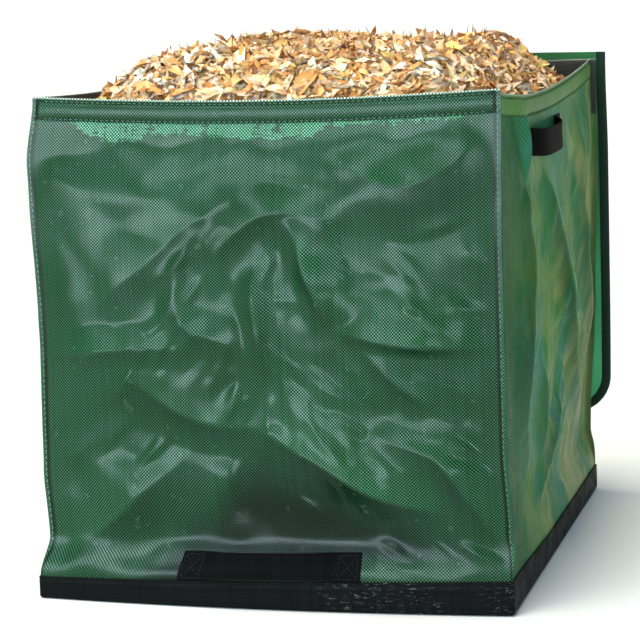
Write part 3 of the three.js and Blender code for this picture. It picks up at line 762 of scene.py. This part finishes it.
def panel_relief(w, s, z, fin, crumples):
    """How far each point of a wall stands off its swollen face. The fins have only a slight wave."""
    out = creases(w, s, z, crumples) + hem_relief(w, s, rim(w, s) - z)
    if w is BACK:
        out = np.minimum(out, LID_STAND / 2)  # the lid hangs over it
    out = out * (np.abs(fin) < 0.1)
    out = out + FIN_WAVE * np.abs(fin) * waves(z, z * 0, 0.07, w.seed + 6)
    out[-len(FOLD_ROWS):] = -FOLD_ROWS[:, 1:]
    return out


def panel(name, w, cloth, lining, spacing, crumples):
    """One wall: its outer face from the foot to the rim, and its lining turned down inside."""
    inner = np.linspace(0, 1, round(w.length / spacing) + 1)
    finned = w is FRONT or w is BACK
    lap = 0 if finned else (PLY + GAP) / w.length
    s = np.concatenate([[lap] * 4, mix(lap, 1 - lap, inner), [1 - lap] * 4])
    fin = np.concatenate([[-1, -0.75, -0.5, -0.25], inner * 0, [0.25, 0.5, 0.75, 1]])
    z = panel_rows(w, s, spacing)
    s, fin = np.broadcast_to(s, z.shape), np.broadcast_to(fin, z.shape)
    top = rim(w, s)
    width = fin_width(z) * fin
    out = panel_relief(w, s, z, fin, crumples)
    points = on_wall(w, s, z, out + (0 if finned else np.abs(width)))
    if finned:
        points[..., :2] += w.along * width[..., None]
    rows, columns = z.shape
    path = np.where(np.arange(rows)[:, None] >= rows - len(FOLD_ROWS), 2 * top - z, z)
    uv = np.stack([s * w.length + width, path], -1)
    tint = wall_tint(w, s, z, top - z, fin)
    faces = grid_faces(rows, columns)
    slots = (np.arange(len(faces)) // (columns - 1)) >= rows - len(FOLD_ROWS) + 1
    piece = make_mesh(name, points, faces, [cloth, lining], uv, tint, slots)
    enter(piece, "woven_cloth", name)


# Stitching

THREAD = 0.00055  # radius of a stitch


def stitches(runs):
    """Points and faces of short thread bars. Each run gives their ends and the way their wall faces."""
    ring = [(math.cos(a), math.sin(a)) for a in np.arange(5) * 2 * math.pi / 5]
    stations = [(-0.5, 0.35), (-0.32, 1), (0.32, 1), (0.5, 0.35)]
    points, faces = [], []
    bar = grid_faces(len(stations), len(ring), closed=True)
    for ends, normal in runs:
        for a, b in ends:
            along = b - a
            length = np.linalg.norm(along)
            along = along / length
            side = np.cross(normal, along)
            up = np.cross(along, side)
            middle = (a + b) / 2 + up * THREAD * 0.5
            faces.append(bar + len(points))
            for place, share in stations:
                dip = up * THREAD * (-1.2 if share < 1 else 0)
                centre = middle + along * length * place
                for c, d in ring:
                    points.append(centre + (side * c + up * d) * THREAD * share + dip)
    return points, np.vstack(faces)


def stitch_run(w, line, stitch=0.0048, gap=0.0024):
    """Stitches along a line on a wall: pairs of ends, and the way the wall faces."""
    run = run_along(line)
    starts = np.arange(0.002, run[-1] - stitch, stitch + gap)

    def at(place):
        return np.stack([np.interp(place, run, values) for values in line.T], -1)

    return np.stack([at(starts), at(starts + stitch)], 1), np.append(w.outward, 0.0)


def sewn(name, runs, material, slot):
    points, faces = stitches(runs)
    enter(make_mesh(name, points, faces, [material]), slot)


def wall_stitching(thread_material):
    """Two lines along every hem, and one down the fin of every corner seam."""
    runs = []
    for w in (FRONT, RIGHT, BACK, LEFT):
        s = np.linspace(0.012, 0.988, 240)
        for below in STITCH_LINES:
            relief = hem_relief(w, s, np.full(s.shape, below))
            line = on_wall(w, s, rim(w, s) - below, relief)
            runs.append(stitch_run(w, line))
    for w in (FRONT, BACK):
        for s in (0.0, 1.0):
            z = np.linspace(BAND + 0.03, HEIGHT - 0.004, 160)
            line = on_wall(w, s, z, 0.0)
            line[:, :2] += w.along * (fin_width(z) * (0.45 if s else -0.45))[:, None]
            runs.append(stitch_run(w, line))
    sewn("wall_stitching", runs, thread_material, "woven_cloth")


# Base

def base_outline(margin, radius, turns=7):
    """Points round the base, a margin outside the walls' feet, with round corners."""
    feet = np.array([seam(name, np.array(0.0)) for name in CORNERS])
    signs = np.array([(corner.side, corner.end) for corner in CORNERS.values()])
    corners = feet + signs * (np.array([2 * GAP, GAP]) + margin)
    outline = []
    for i, corner in enumerate(corners):
        before, after = corners[i - 1] - corner, corners[(i + 1) % 4] - corner
        a = corner + unit(before) * radius
        b = corner + unit(after) * radius
        for t in np.linspace(0, 1, turns):
            outline.append((1 - t) ** 2 * a + 2 * t * (1 - t) * corner + t ** 2 * b)
        end = corners[(i + 1) % 4] - unit(after) * radius
        for t in np.linspace(0, 1, 60)[1:-1]:
            outline.append(mix(b, end, t))
    return np.array(outline)


# The base's section from its bottom to the inside of its top edge, as (inset from its outside, height)
BASE_SECTION = [
    (0.05, 0), (0.012, 0), (0.005, 0.0002), (0.002, 0.0012), (0.0005, 0.003), (0, 0.006), (0, 0.012),
    (0, 0.02), (0, 0.028), (0, 0.0325), (0.0008, 0.0335), (0, 0.0345), (0, 0.0368), (0.0004, 0.0377),
    (0.0012, 0.038), (0.0019, 0.0372), (0.0019, 0.03), (0.0019, 0.02),
]
BAND_WOBBLE = 0.0011
BAND_ROUND = 0.0035  # radius of the band's corners
BOTTOM_ROUND = 0.006


def base_piece(cloth):
    """The black base: a flat bottom with soft edges, turned up the walls, with a seam under its top edge."""
    rings, uv = [], []
    for inset, z in BASE_SECTION:
        ring = base_outline(BASE_CLOTH - inset, BAND_ROUND if inset < 0.003 else BOTTOM_ROUND)
        run = run_along(ring)
        wobble = BAND_WOBBLE * waves(run, run * 0, 0.14, 21) * smoothstep(z, 0.004, 0.02) * (inset < 0.0018)
        ring = ring - unit(ring - ring.mean(0)) * np.maximum(wobble, 0)[:, None]
        rings.append(np.column_stack([ring, np.full(len(ring), z)]))
        uv.append(np.column_stack([run, np.full(len(ring), z - inset * (z < 0.001))]))
    columns = len(rings[0])
    faces = grid_faces(len(rings), columns, closed=True)
    piece = make_mesh("black_base", np.vstack(rings), faces, [cloth], np.vstack(uv),
                      bottom=list(range(columns - 1, -1, -1)))
    enter(piece, "base_cloth", "base_tray")


# Straps

def strap_points(w, run, across, out, slack, droop):
    """Points of a strap, by run along it, place across it from -1 to 1, and height above its own back."""
    share, middle = w.strap
    between = np.clip((run - STRAP_TAB) / (STRAP_LENGTH - 2 * STRAP_TAB), 0, 1)
    loose = 1 - (2 * between - 1) ** 4
    out = GAP + slack * loose + out
    s = share + (run - STRAP_LENGTH / 2) / w.length
    z = middle + across * STRAP_WIDTH / 2
    lean = on_wall(w, s, z, out)
    upright = on_wall(w, s, middle, out)
    flat = mix(lean[..., :2], upright[..., :2], loose[..., None])
    return np.concatenate([flat, (z - droop * loose)[..., None]], -1)


def strap_section():
    """A strap's section from edge to edge and back, as (place across it, share of its thickness)."""
    edge = [(-1, 0.2), (-0.985, 0.85), (-0.95, 1), (-0.9, 0.92), (-0.86, 0.9)]
    front = [(a, 0.9) for a in np.linspace(-0.75, 0.75, 9)]
    back = [(a, 0) for a in (0.97, 0.5, 0, -0.5, -0.97)]
    return np.array(edge + front + [(-a, high) for a, high in edge[::-1]] + back).T


def strap(name, w, cloth, thread_material, slack, droop):
    """A strap that stands off its wall by its slack, with its middle a droop lower than its ends."""
    across, high = strap_section()
    run, across = np.meshgrid(np.linspace(0, STRAP_LENGTH, 70), across, indexing="ij")
    high = np.broadcast_to(high * STRAP, run.shape)
    points = strap_points(w, run, across, high, slack, droop)
    ripple = 0.0007 * waves(run, across * 0.03, 0.05, w.seed + 9)
    points[..., :2] += w.outward * np.maximum(ripple, -0.0004)[..., None]
    faces = grid_faces(*run.shape, closed=True)[:, ::-1]
    uv = np.stack([run, across * STRAP_WIDTH / 2 + high], -1)
    enter(make_mesh(name + "_webbing", points, faces, [cloth], uv), "webbing", name)

    def sewn_path(path):
        t = np.linspace(0, len(path) - 1, 24 * (len(path) - 1))
        run, across = (np.interp(t, range(len(path)), values) for values in np.array(path).T)
        line = strap_points(w, run, across, STRAP * 0.92, slack, droop)
        return stitch_run(w, line, stitch=0.0034, gap=0.0016)

    runs = []
    inset, edge = 0.004, 0.8
    for tab in (0, STRAP_LENGTH - STRAP_TAB):
        a, b = tab + inset, tab + STRAP_TAB - inset
        square = [(a, -edge), (b, -edge), (b, edge), (a, edge), (a, -edge)]
        runs += [sewn_path(path) for path in (square, [(a, -edge), (b, edge)], [(a, edge), (b, -edge)])]
    sewn(name + "_stitching", runs, thread_material, "webbing")


# Lid

BACK_LEAN = 9 * MM  # the furthest that a back corner leans out
LID_BODY = WIDTH / 2 + BACK_LEAN + SEAM_FIN + GAP
LID_HALF = LID_BODY + BINDING
LID_TURN = np.linspace(0, math.pi / 2, 14)[1:]  # angles round a lower corner
LID_SHADE = GREEN * 4
LID_GLOW = np.array(THIN_GREEN[:3]) * 5.2  # with the sun behind it


def lid_points(x, drop, out):
    z = HEIGHT + LID_RISE - drop
    s = np.clip(0.5 - x / (2 * LID_BODY), 0, 1)
    hang = LID_STAND * smoothstep(drop, LID_SEAM, LID_SEAM + LID_DROP / 4)
    sway = LID_SWAY * waves(x, drop, 0.34, 31) * smoothstep(drop, 0.05, 0.2)
    points = on_wall(BACK, s, z, GAP + hang + np.maximum(sway, -0.003) + out)
    points[..., 0] = x
    return points


def lid_edge(drop):
    """Half width of the lid at a drop, with its round lower corners."""
    past = np.clip(drop - (LID_DROP - LID_CORNER), 0, LID_CORNER)
    return LID_HALF - LID_CORNER + np.sqrt(LID_CORNER ** 2 - past ** 2)


def lid_cloth(cloth):
    straight = np.linspace(0, LID_DROP - LID_CORNER, 62)
    drop = np.concatenate([straight, LID_DROP - LID_CORNER + LID_CORNER * np.sin(LID_TURN)])
    x = lid_edge(drop)[:, None] * np.linspace(1, -1, 82)
    drop = np.broadcast_to(drop[:, None], x.shape)
    points = lid_points(x, drop, PLY / 2)
    patch = 0.5 + 0.5 * waves(x, drop, 0.18, 33)
    lit = (0.05 + 0.75 * smoothstep(drop, 0.1, 0.42)) * (0.6 + 0.4 * patch)
    lit = lit * (0.4 + 0.6 * smoothstep(np.abs(x), 0, LID_BODY))
    tint = blend(LID_SHADE, LID_GLOW, lit)
    tint = np.concatenate([tint, np.zeros(x.shape + (1,))], -1)
    uv = np.stack([x, drop], -1)
    lid = make_mesh("lid_cloth", points, grid_faces(*x.shape), [cloth], uv, tint)
    enter(lid, "woven_cloth", "lid_panel")
    return lid


def lid_tape(tape):
    """The tape folded round the lid's free edges: down one side, along the bottom and up the other."""
    x0, drop0 = LID_HALF - LID_CORNER, LID_DROP - LID_CORNER
    route = [(LID_HALF, drop, 0.0) for drop in np.linspace(0, drop0, 60)]
    route += [(x0 + LID_CORNER * math.cos(a), drop0 + LID_CORNER * math.sin(a), a) for a in LID_TURN]
    route += [(x, LID_DROP, math.pi / 2) for x in np.linspace(x0, 0, 40)[1:]]
    route += [(-x, drop, math.pi - a) for x, drop, a in route[-2::-1]]
    edge, depth, angle = np.array(route).T[..., None]
    skin = PLY / 2 + GAP + TAPE
    face = [(1, 0.55), (0.96, 1), (0.8, 1.05), (0.5, 1.12), (0.15, 1.1)]
    section = [(BINDING * a, skin * high) for a, high in face] + [(-0.0006, skin * 0.75), (-0.0012, 0)]
    section += [(a, -high) for a, high in section[-2::-1]]
    inward, high = np.array(section).T
    x = edge - inward * np.cos(angle)
    points = lid_points(x, depth - inward * np.sin(angle), PLY / 2 + high)
    run = run_along(np.hstack([edge, depth]))
    uv = np.stack(np.broadcast_arrays(run[:, None], inward + high), -1)
    binding = make_mesh("lid_edge_tape", points, grid_faces(*x.shape), [tape], uv)
    enter(binding, "edge_tape", "lid_binding")
    return binding


def lid_pieces(cloth, tape):
    lid = lid_cloth(cloth)
    binding = lid_tape(tape)


# Leaves

LEAF_COLOURS = np.array([
    (0.96, 0.72, 0.48), (0.93, 0.61, 0.31), (0.88, 0.49, 0.18), (0.78, 0.34, 0.09), (0.60, 0.22, 0.05),
    (0.94, 0.60, 0.17), (0.40, 0.15, 0.04), (0.98, 0.85, 0.70),
])
LEAF_SHARES = np.array([0.21, 0.20, 0.16, 0.13, 0.07, 0.06, 0.02, 0.15])
STALK_COLOURS = np.array([(0.05, 0.035, 0.025), (0.11, 0.07, 0.04)])
STALK_SHARES = np.array([0.6, 0.4])

# Kinds of leaf piece: how many, ranges of length, width, tilt and lift, and rows of points
LEAF_KINDS = {
    "leaf_shreds": (9000, (0.008, 0.022), (0.003, 0.008), (0.2, 1.0), (-0.006, 0.004), 4),
    "leaf_flakes": (5500, (0.014, 0.034), (0.005, 0.013), (0.2, 1.0), (-0.004, 0.005), 5),
    "leaf_scraps": (1500, (0.024, 0.044), (0.009, 0.018), (0.2, 0.8), (-0.004, 0.005), 6),
    "whole_leaves": (90, (0.038, 0.062), (0.014, 0.024), (0.2, 0.7), (-0.002, 0.006), 6),
    "leaf_spikes": (260, (0.016, 0.034), (0.004, 0.010), (0.1, 0.5), (-0.002, 0.006), 6),
    "stalks": (110, (0.02, 0.045), (0.0012, 0.0022), (0.2, 0.8), (-0.002, 0.008), 6),
}
STANDING_KINDS = ("leaf_spikes", "stalks")  # these stand out of the heap, the others lie on it
LEAF_SPREAD = 0.016  # from the walls to the middle of a leaf, at least
LEAF_ROOM = np.array([0.010, 0.006])  # from the walls to any point of a leaf, at least
LEAF_TOP = cad_box[1].z + 0.018


def heap_top(x, y):
    sides = smoothstep(WIDTH / 2 - np.abs(x), 0, np.where(x < 0, HEAP_LEFT_RUN, HEAP_RUN))
    ends = smoothstep(DEPTH / 2 - np.abs(y), 0, HEAP_RUN)
    lump = HEAP_LUMP * np.sin(x / LUMP_PITCH) * np.cos(y / LUMP_PITCH + x / WIDTH)
    return HEIGHT - FILL_DROP + (HEAP + FILL_DROP) * sides * ends + lump * sides


def heap_slope(x, y, step=0.004):
    dx = (heap_top(x + step, y) - heap_top(x - step, y)) / (2 * step)
    dy = (heap_top(x, y + step) - heap_top(x, y - step)) / (2 * step)
    return np.stack([-dx, -dy, np.ones(np.shape(x))], -1)


def leaf_directions(rng, x, y, tilt, stands):
    """The way each leaf runs, its side and its face, with the heap's slope and a random tilt."""
    count = len(x)
    normal = heap_slope(x, y) + rng.normal(0, 1, (count, 3)) * rng.uniform(*tilt, count)[:, None]
    normal[:, 2] = np.abs(normal[:, 2]) + (0.0 if stands else 0.2)
    normal = unit(normal)
    heading = rng.uniform(0, 2 * math.pi, count)
    along = np.stack([np.cos(heading), np.sin(heading), np.zeros(count)], -1)
    if stands:
        along = normal + 0.35 * along
        normal = np.stack([np.sin(heading), -np.cos(heading), np.full(count, 0.2)], -1)
    along = unit(along - normal * (along * normal).sum(1)[:, None])
    return along, np.cross(normal, along), normal


def leaf_shapes(rng, size, wide, station, directions):
    """Points of curled, cupped and twisted blades: a left edge, a midrib and a right edge each."""
    along, side, normal = (direction[:, None] for direction in directions)
    count, rows = len(size), len(station)
    blade = (1 - np.abs(station) ** 2.2) ** 0.7
    skew = rng.uniform(-0.35, 0.35, (count, 1))
    ragged = rng.uniform(0.5, 1.1, (count, rows, 2))
    curl = rng.normal(0.0, 0.5, (count, 1))
    cup = rng.uniform(-0.5, 0.9, (count, 1))
    turn = rng.normal(0, 0.5, (count, 1)) * station
    half = size[:, None] / 2
    wide = wide[:, None] / 2 * np.maximum(blade + skew * station * blade, 0.06)
    lines = []
    for reach in (-wide * ragged[:, :, 0], 0 * wide, wide * ragged[:, :, 1]):
        high = curl * half * (station ** 2 - 0.3) * 0.6 + np.sin(turn) * reach + np.abs(reach) * cup
        lines.append(along * (half * station)[..., None] + side * (reach * np.cos(turn))[..., None]
                     + normal * high[..., None])
    return np.stack(lines, 2)


def inside_bag(points):
    """Which leaves have all their points clear of the walls and none too high above the heap."""
    room = np.array([WIDTH, DEPTH]) / 2 - LEAF_ROOM
    within = (np.abs(points[..., :2]) < room).all((1, 2))
    return within & (points[..., 2].max(1) < LEAF_TOP)


def leaf_batch(name, rng, material):
    """All the leaf pieces of one kind, scattered over the heap."""
    count, length, width, tilt, lift, rows = LEAF_KINDS[name]
    x, y = (rng.uniform(-1, 1, (count, 2)) * (np.array([WIDTH, DEPTH]) / 2 - LEAF_SPREAD)).T
    size = rng.uniform(*length, count)
    wide = rng.uniform(*width, count)
    directions = leaf_directions(rng, x, y, tilt, name in STANDING_KINDS)
    station = np.linspace(-1, 1, rows)
    shape = leaf_shapes(rng, size, wide, station, directions)
    ground = heap_top(x, y) + rng.uniform(*lift, count)
    shape = shape + np.stack([x, y, ground], -1)[:, None, None]
    shape = shape[inside_bag(shape.reshape(count, -1, 3))]
    number = len(shape)
    colours, shares = (STALK_COLOURS, STALK_SHARES) if name == "stalks" else (LEAF_COLOURS, LEAF_SHARES)
    tint = colours[rng.choice(len(colours), number, p=shares)]
    tint = tint * rng.uniform(0.75, 1.12, (number, 1)) * rng.uniform(0.93, 1.07, (number, 3))
    tint = np.concatenate([np.clip(tint, 0, 1), np.ones((number, 1))], 1)
    faces = (grid_faces(rows, 3)[None] + (np.arange(number) * 3 * rows)[:, None, None]).reshape(-1, 4)
    grid_uv = np.stack(np.meshgrid(station, (-1, 0, 1), indexing="ij"), -1) * 0.012
    uv = grid_uv + rng.uniform(0, 1, (number, 1, 1, 2))
    piece = make_mesh(name, shape, faces, [material], uv, np.repeat(tint, 3 * rows, axis=0))
    enter(piece, "dry_leaves", "leaf_fill")


def heap_piece(material):
    """The broken leaves that close the gaps between the single ones."""
    count, inset = 70, 0.012
    share = np.linspace(-1, 1, count)
    x, y = np.meshgrid(share * (WIDTH / 2 - inset), share * (DEPTH / 2 - inset))
    z = heap_top(x, y) - 0.006 + 0.004 * waves(x, y, 0.03, 41) + 0.004 * waves(x, y, 0.012, 42)
    points = np.stack([x, y, z], -1)
    piece = make_mesh("leaf_heap", points, grid_faces(count, count), [material], np.stack([x, y], -1))
    enter(piece, "dry_leaves", "leaf_fill")


def leaves():
    heap_piece(leaf_mould_and_glow())
    leaf = dry_leaf()
    rng = np.random.default_rng(97)
    for name in LEAF_KINDS:
        leaf_batch(name, rng, leaf)


# Stage

def area_light(name, place, target, size, power, colour):
    light = bpy.data.lights.new(name, "AREA")
    light.shape = "RECTANGLE"
    light.size, light.size_y = size
    light.energy = power
    light.color = colour
    lamp = new_object(name, light)
    lamp.location = place
    lamp.rotation_euler = (target - Vector(place)).to_track_quat("-Z", "Y").to_euler()


def floor():
    shader = Shader("floor", roughness=0.9, specular=0.05)
    shader.finish(shader.mix(shader.noise(shader.place(), 3.0), (0.50, 0.51, 0.52, 1), (0.53, 0.54, 0.55, 1)))
    size = 60
    corners = [(-size, -size, 0), (size, -size, 0), (size, size, 0), (-size, size, 0)]
    mesh = bpy.data.meshes.new("floor")
    mesh.from_pydata(corners, [], [(0, 1, 2, 3)])
    new_object("floor", mesh, [shader.material])


def sky():
    """Soft light, dim and green at the horizon and bright and bluish above."""
    world = bpy.data.worlds.new("sky")
    bpy.context.scene.world = world
    world.use_nodes = True
    nodes = Nodes(world.node_tree)
    _, _, up = nodes.split(nodes.add("TexCoord", {})["Generated"])
    high = nodes.remap(up, 0.08, 0.5, 0, 1)
    colour = nodes.mix(high, (0.07, 0.10, 0.08, 1), (0.74, 0.90, 1.0, 1))
    background = nodes.nodes["Background"]
    nodes.feed(background.inputs[0], colour)
    background.inputs[1].default_value = 0.75


SKY_LIGHT = (0.70, 0.87, 1.0)


def stage():
    floor()
    sky()
    sun = bpy.data.lights.new("sun", "SUN")
    sun.energy = 5.4
    sun.angle = math.radians(32)
    sun.color = (1.0, 0.91, 0.74)
    lamp = new_object("sun", sun)
    lamp.rotation_euler = Vector((0.2, 0.14, -1.0)).to_track_quat("-Z", "Y").to_euler()
    front = Vector((0, -0.3, 0.35))
    area_light("low_sky", (-0.8, -3.0, 0.46), front, (2.6, 0.38), 84, SKY_LIGHT)
    area_light("high_sky", (-0.8, -3.0, 1.7), front, (2.6, 0.32), 56, SKY_LIGHT)
    area_light("right_sky", (1.5, -2.9, 0.75), front, (0.8, 0.8), 27, SKY_LIGHT)


def camera():
    back = Vector((math.sin(VIEW_AZIMUTH) * math.cos(VIEW_ELEVATION),
                   -math.cos(VIEW_AZIMUTH) * math.cos(VIEW_ELEVATION), math.sin(VIEW_ELEVATION)))
    right = Vector((math.cos(VIEW_AZIMUTH), math.sin(VIEW_AZIMUTH), 0))
    up = back.cross(right)
    turned_right = math.cos(VIEW_ROLL) * right + math.sin(VIEW_ROLL) * up
    turned_up = -math.sin(VIEW_ROLL) * right + math.cos(VIEW_ROLL) * up
    lens = bpy.data.cameras.new("camera")
    lens.sensor_width = 36
    lens.lens = FOCAL_PX / FRAME_PX * lens.sensor_width
    lens.shift_x = -VIEW_SHIFT_PX[0] / FRAME_PX
    lens.shift_y = VIEW_SHIFT_PX[1] / FRAME_PX
    lens.clip_end = 200
    eye = new_object("camera", lens)
    place = Matrix((turned_right, turned_up, back)).transposed().to_4x4()
    place.translation = VIEW_TARGET + back * VIEW_DISTANCE
    eye.matrix_world = place
    bpy.context.scene.camera = eye
    bpy.context.scene.view_settings.view_transform = "Standard"


def main():
    cloth = woven_cloth("woven_cloth", roughness=0.2, relief=0.000028, contrast=0.98, specular=0.145)
    side_cloth = woven_cloth("woven_cloth_side", roughness=0.34, relief=0.0001, contrast=0.4, specular=0.03)
    lining = plain_cloth("lining", WEAVE_PITCH, (0.010, 0.011, 0.011, 1), (0.024, 0.026, 0.025, 1), 0.4)
    tape = plain_cloth("edge_tape", TAPE_PITCH, (0.006, 0.016, 0.011, 1), (0.014, 0.036, 0.024, 1), 0.1)
    strap_cloth = webbing()
    green_thread = thread("green_thread", (0.02, 0.06, 0.03, 1), (0.10, 0.19, 0.12, 1))
    black_thread = thread("black_thread", (0.002, 0.002, 0.002, 1), (0.012, 0.012, 0.013, 1))
    panel("front_panel", FRONT, cloth, lining, spacing=0.003, crumples=130)
    panel("right_side_panel", RIGHT, side_cloth, lining, spacing=0.0035, crumples=90)
    panel("back_panel", BACK, cloth, lining, spacing=0.007, crumples=40)
    panel("left_side_panel", LEFT, cloth, lining, spacing=0.007, crumples=40)
    wall_stitching(green_thread)
    base_piece(base_cloth())
    strap("front_handle", FRONT, strap_cloth, black_thread, slack=0.011, droop=-0.0035)
    strap("right_handle", RIGHT, strap_cloth, black_thread, slack=0.017, droop=0.004)
    strap("left_handle", LEFT, strap_cloth, black_thread, slack=0.017, droop=0.004)
    lid_pieces(cloth, tape)
    leaves()
    stage()
    camera()


main()
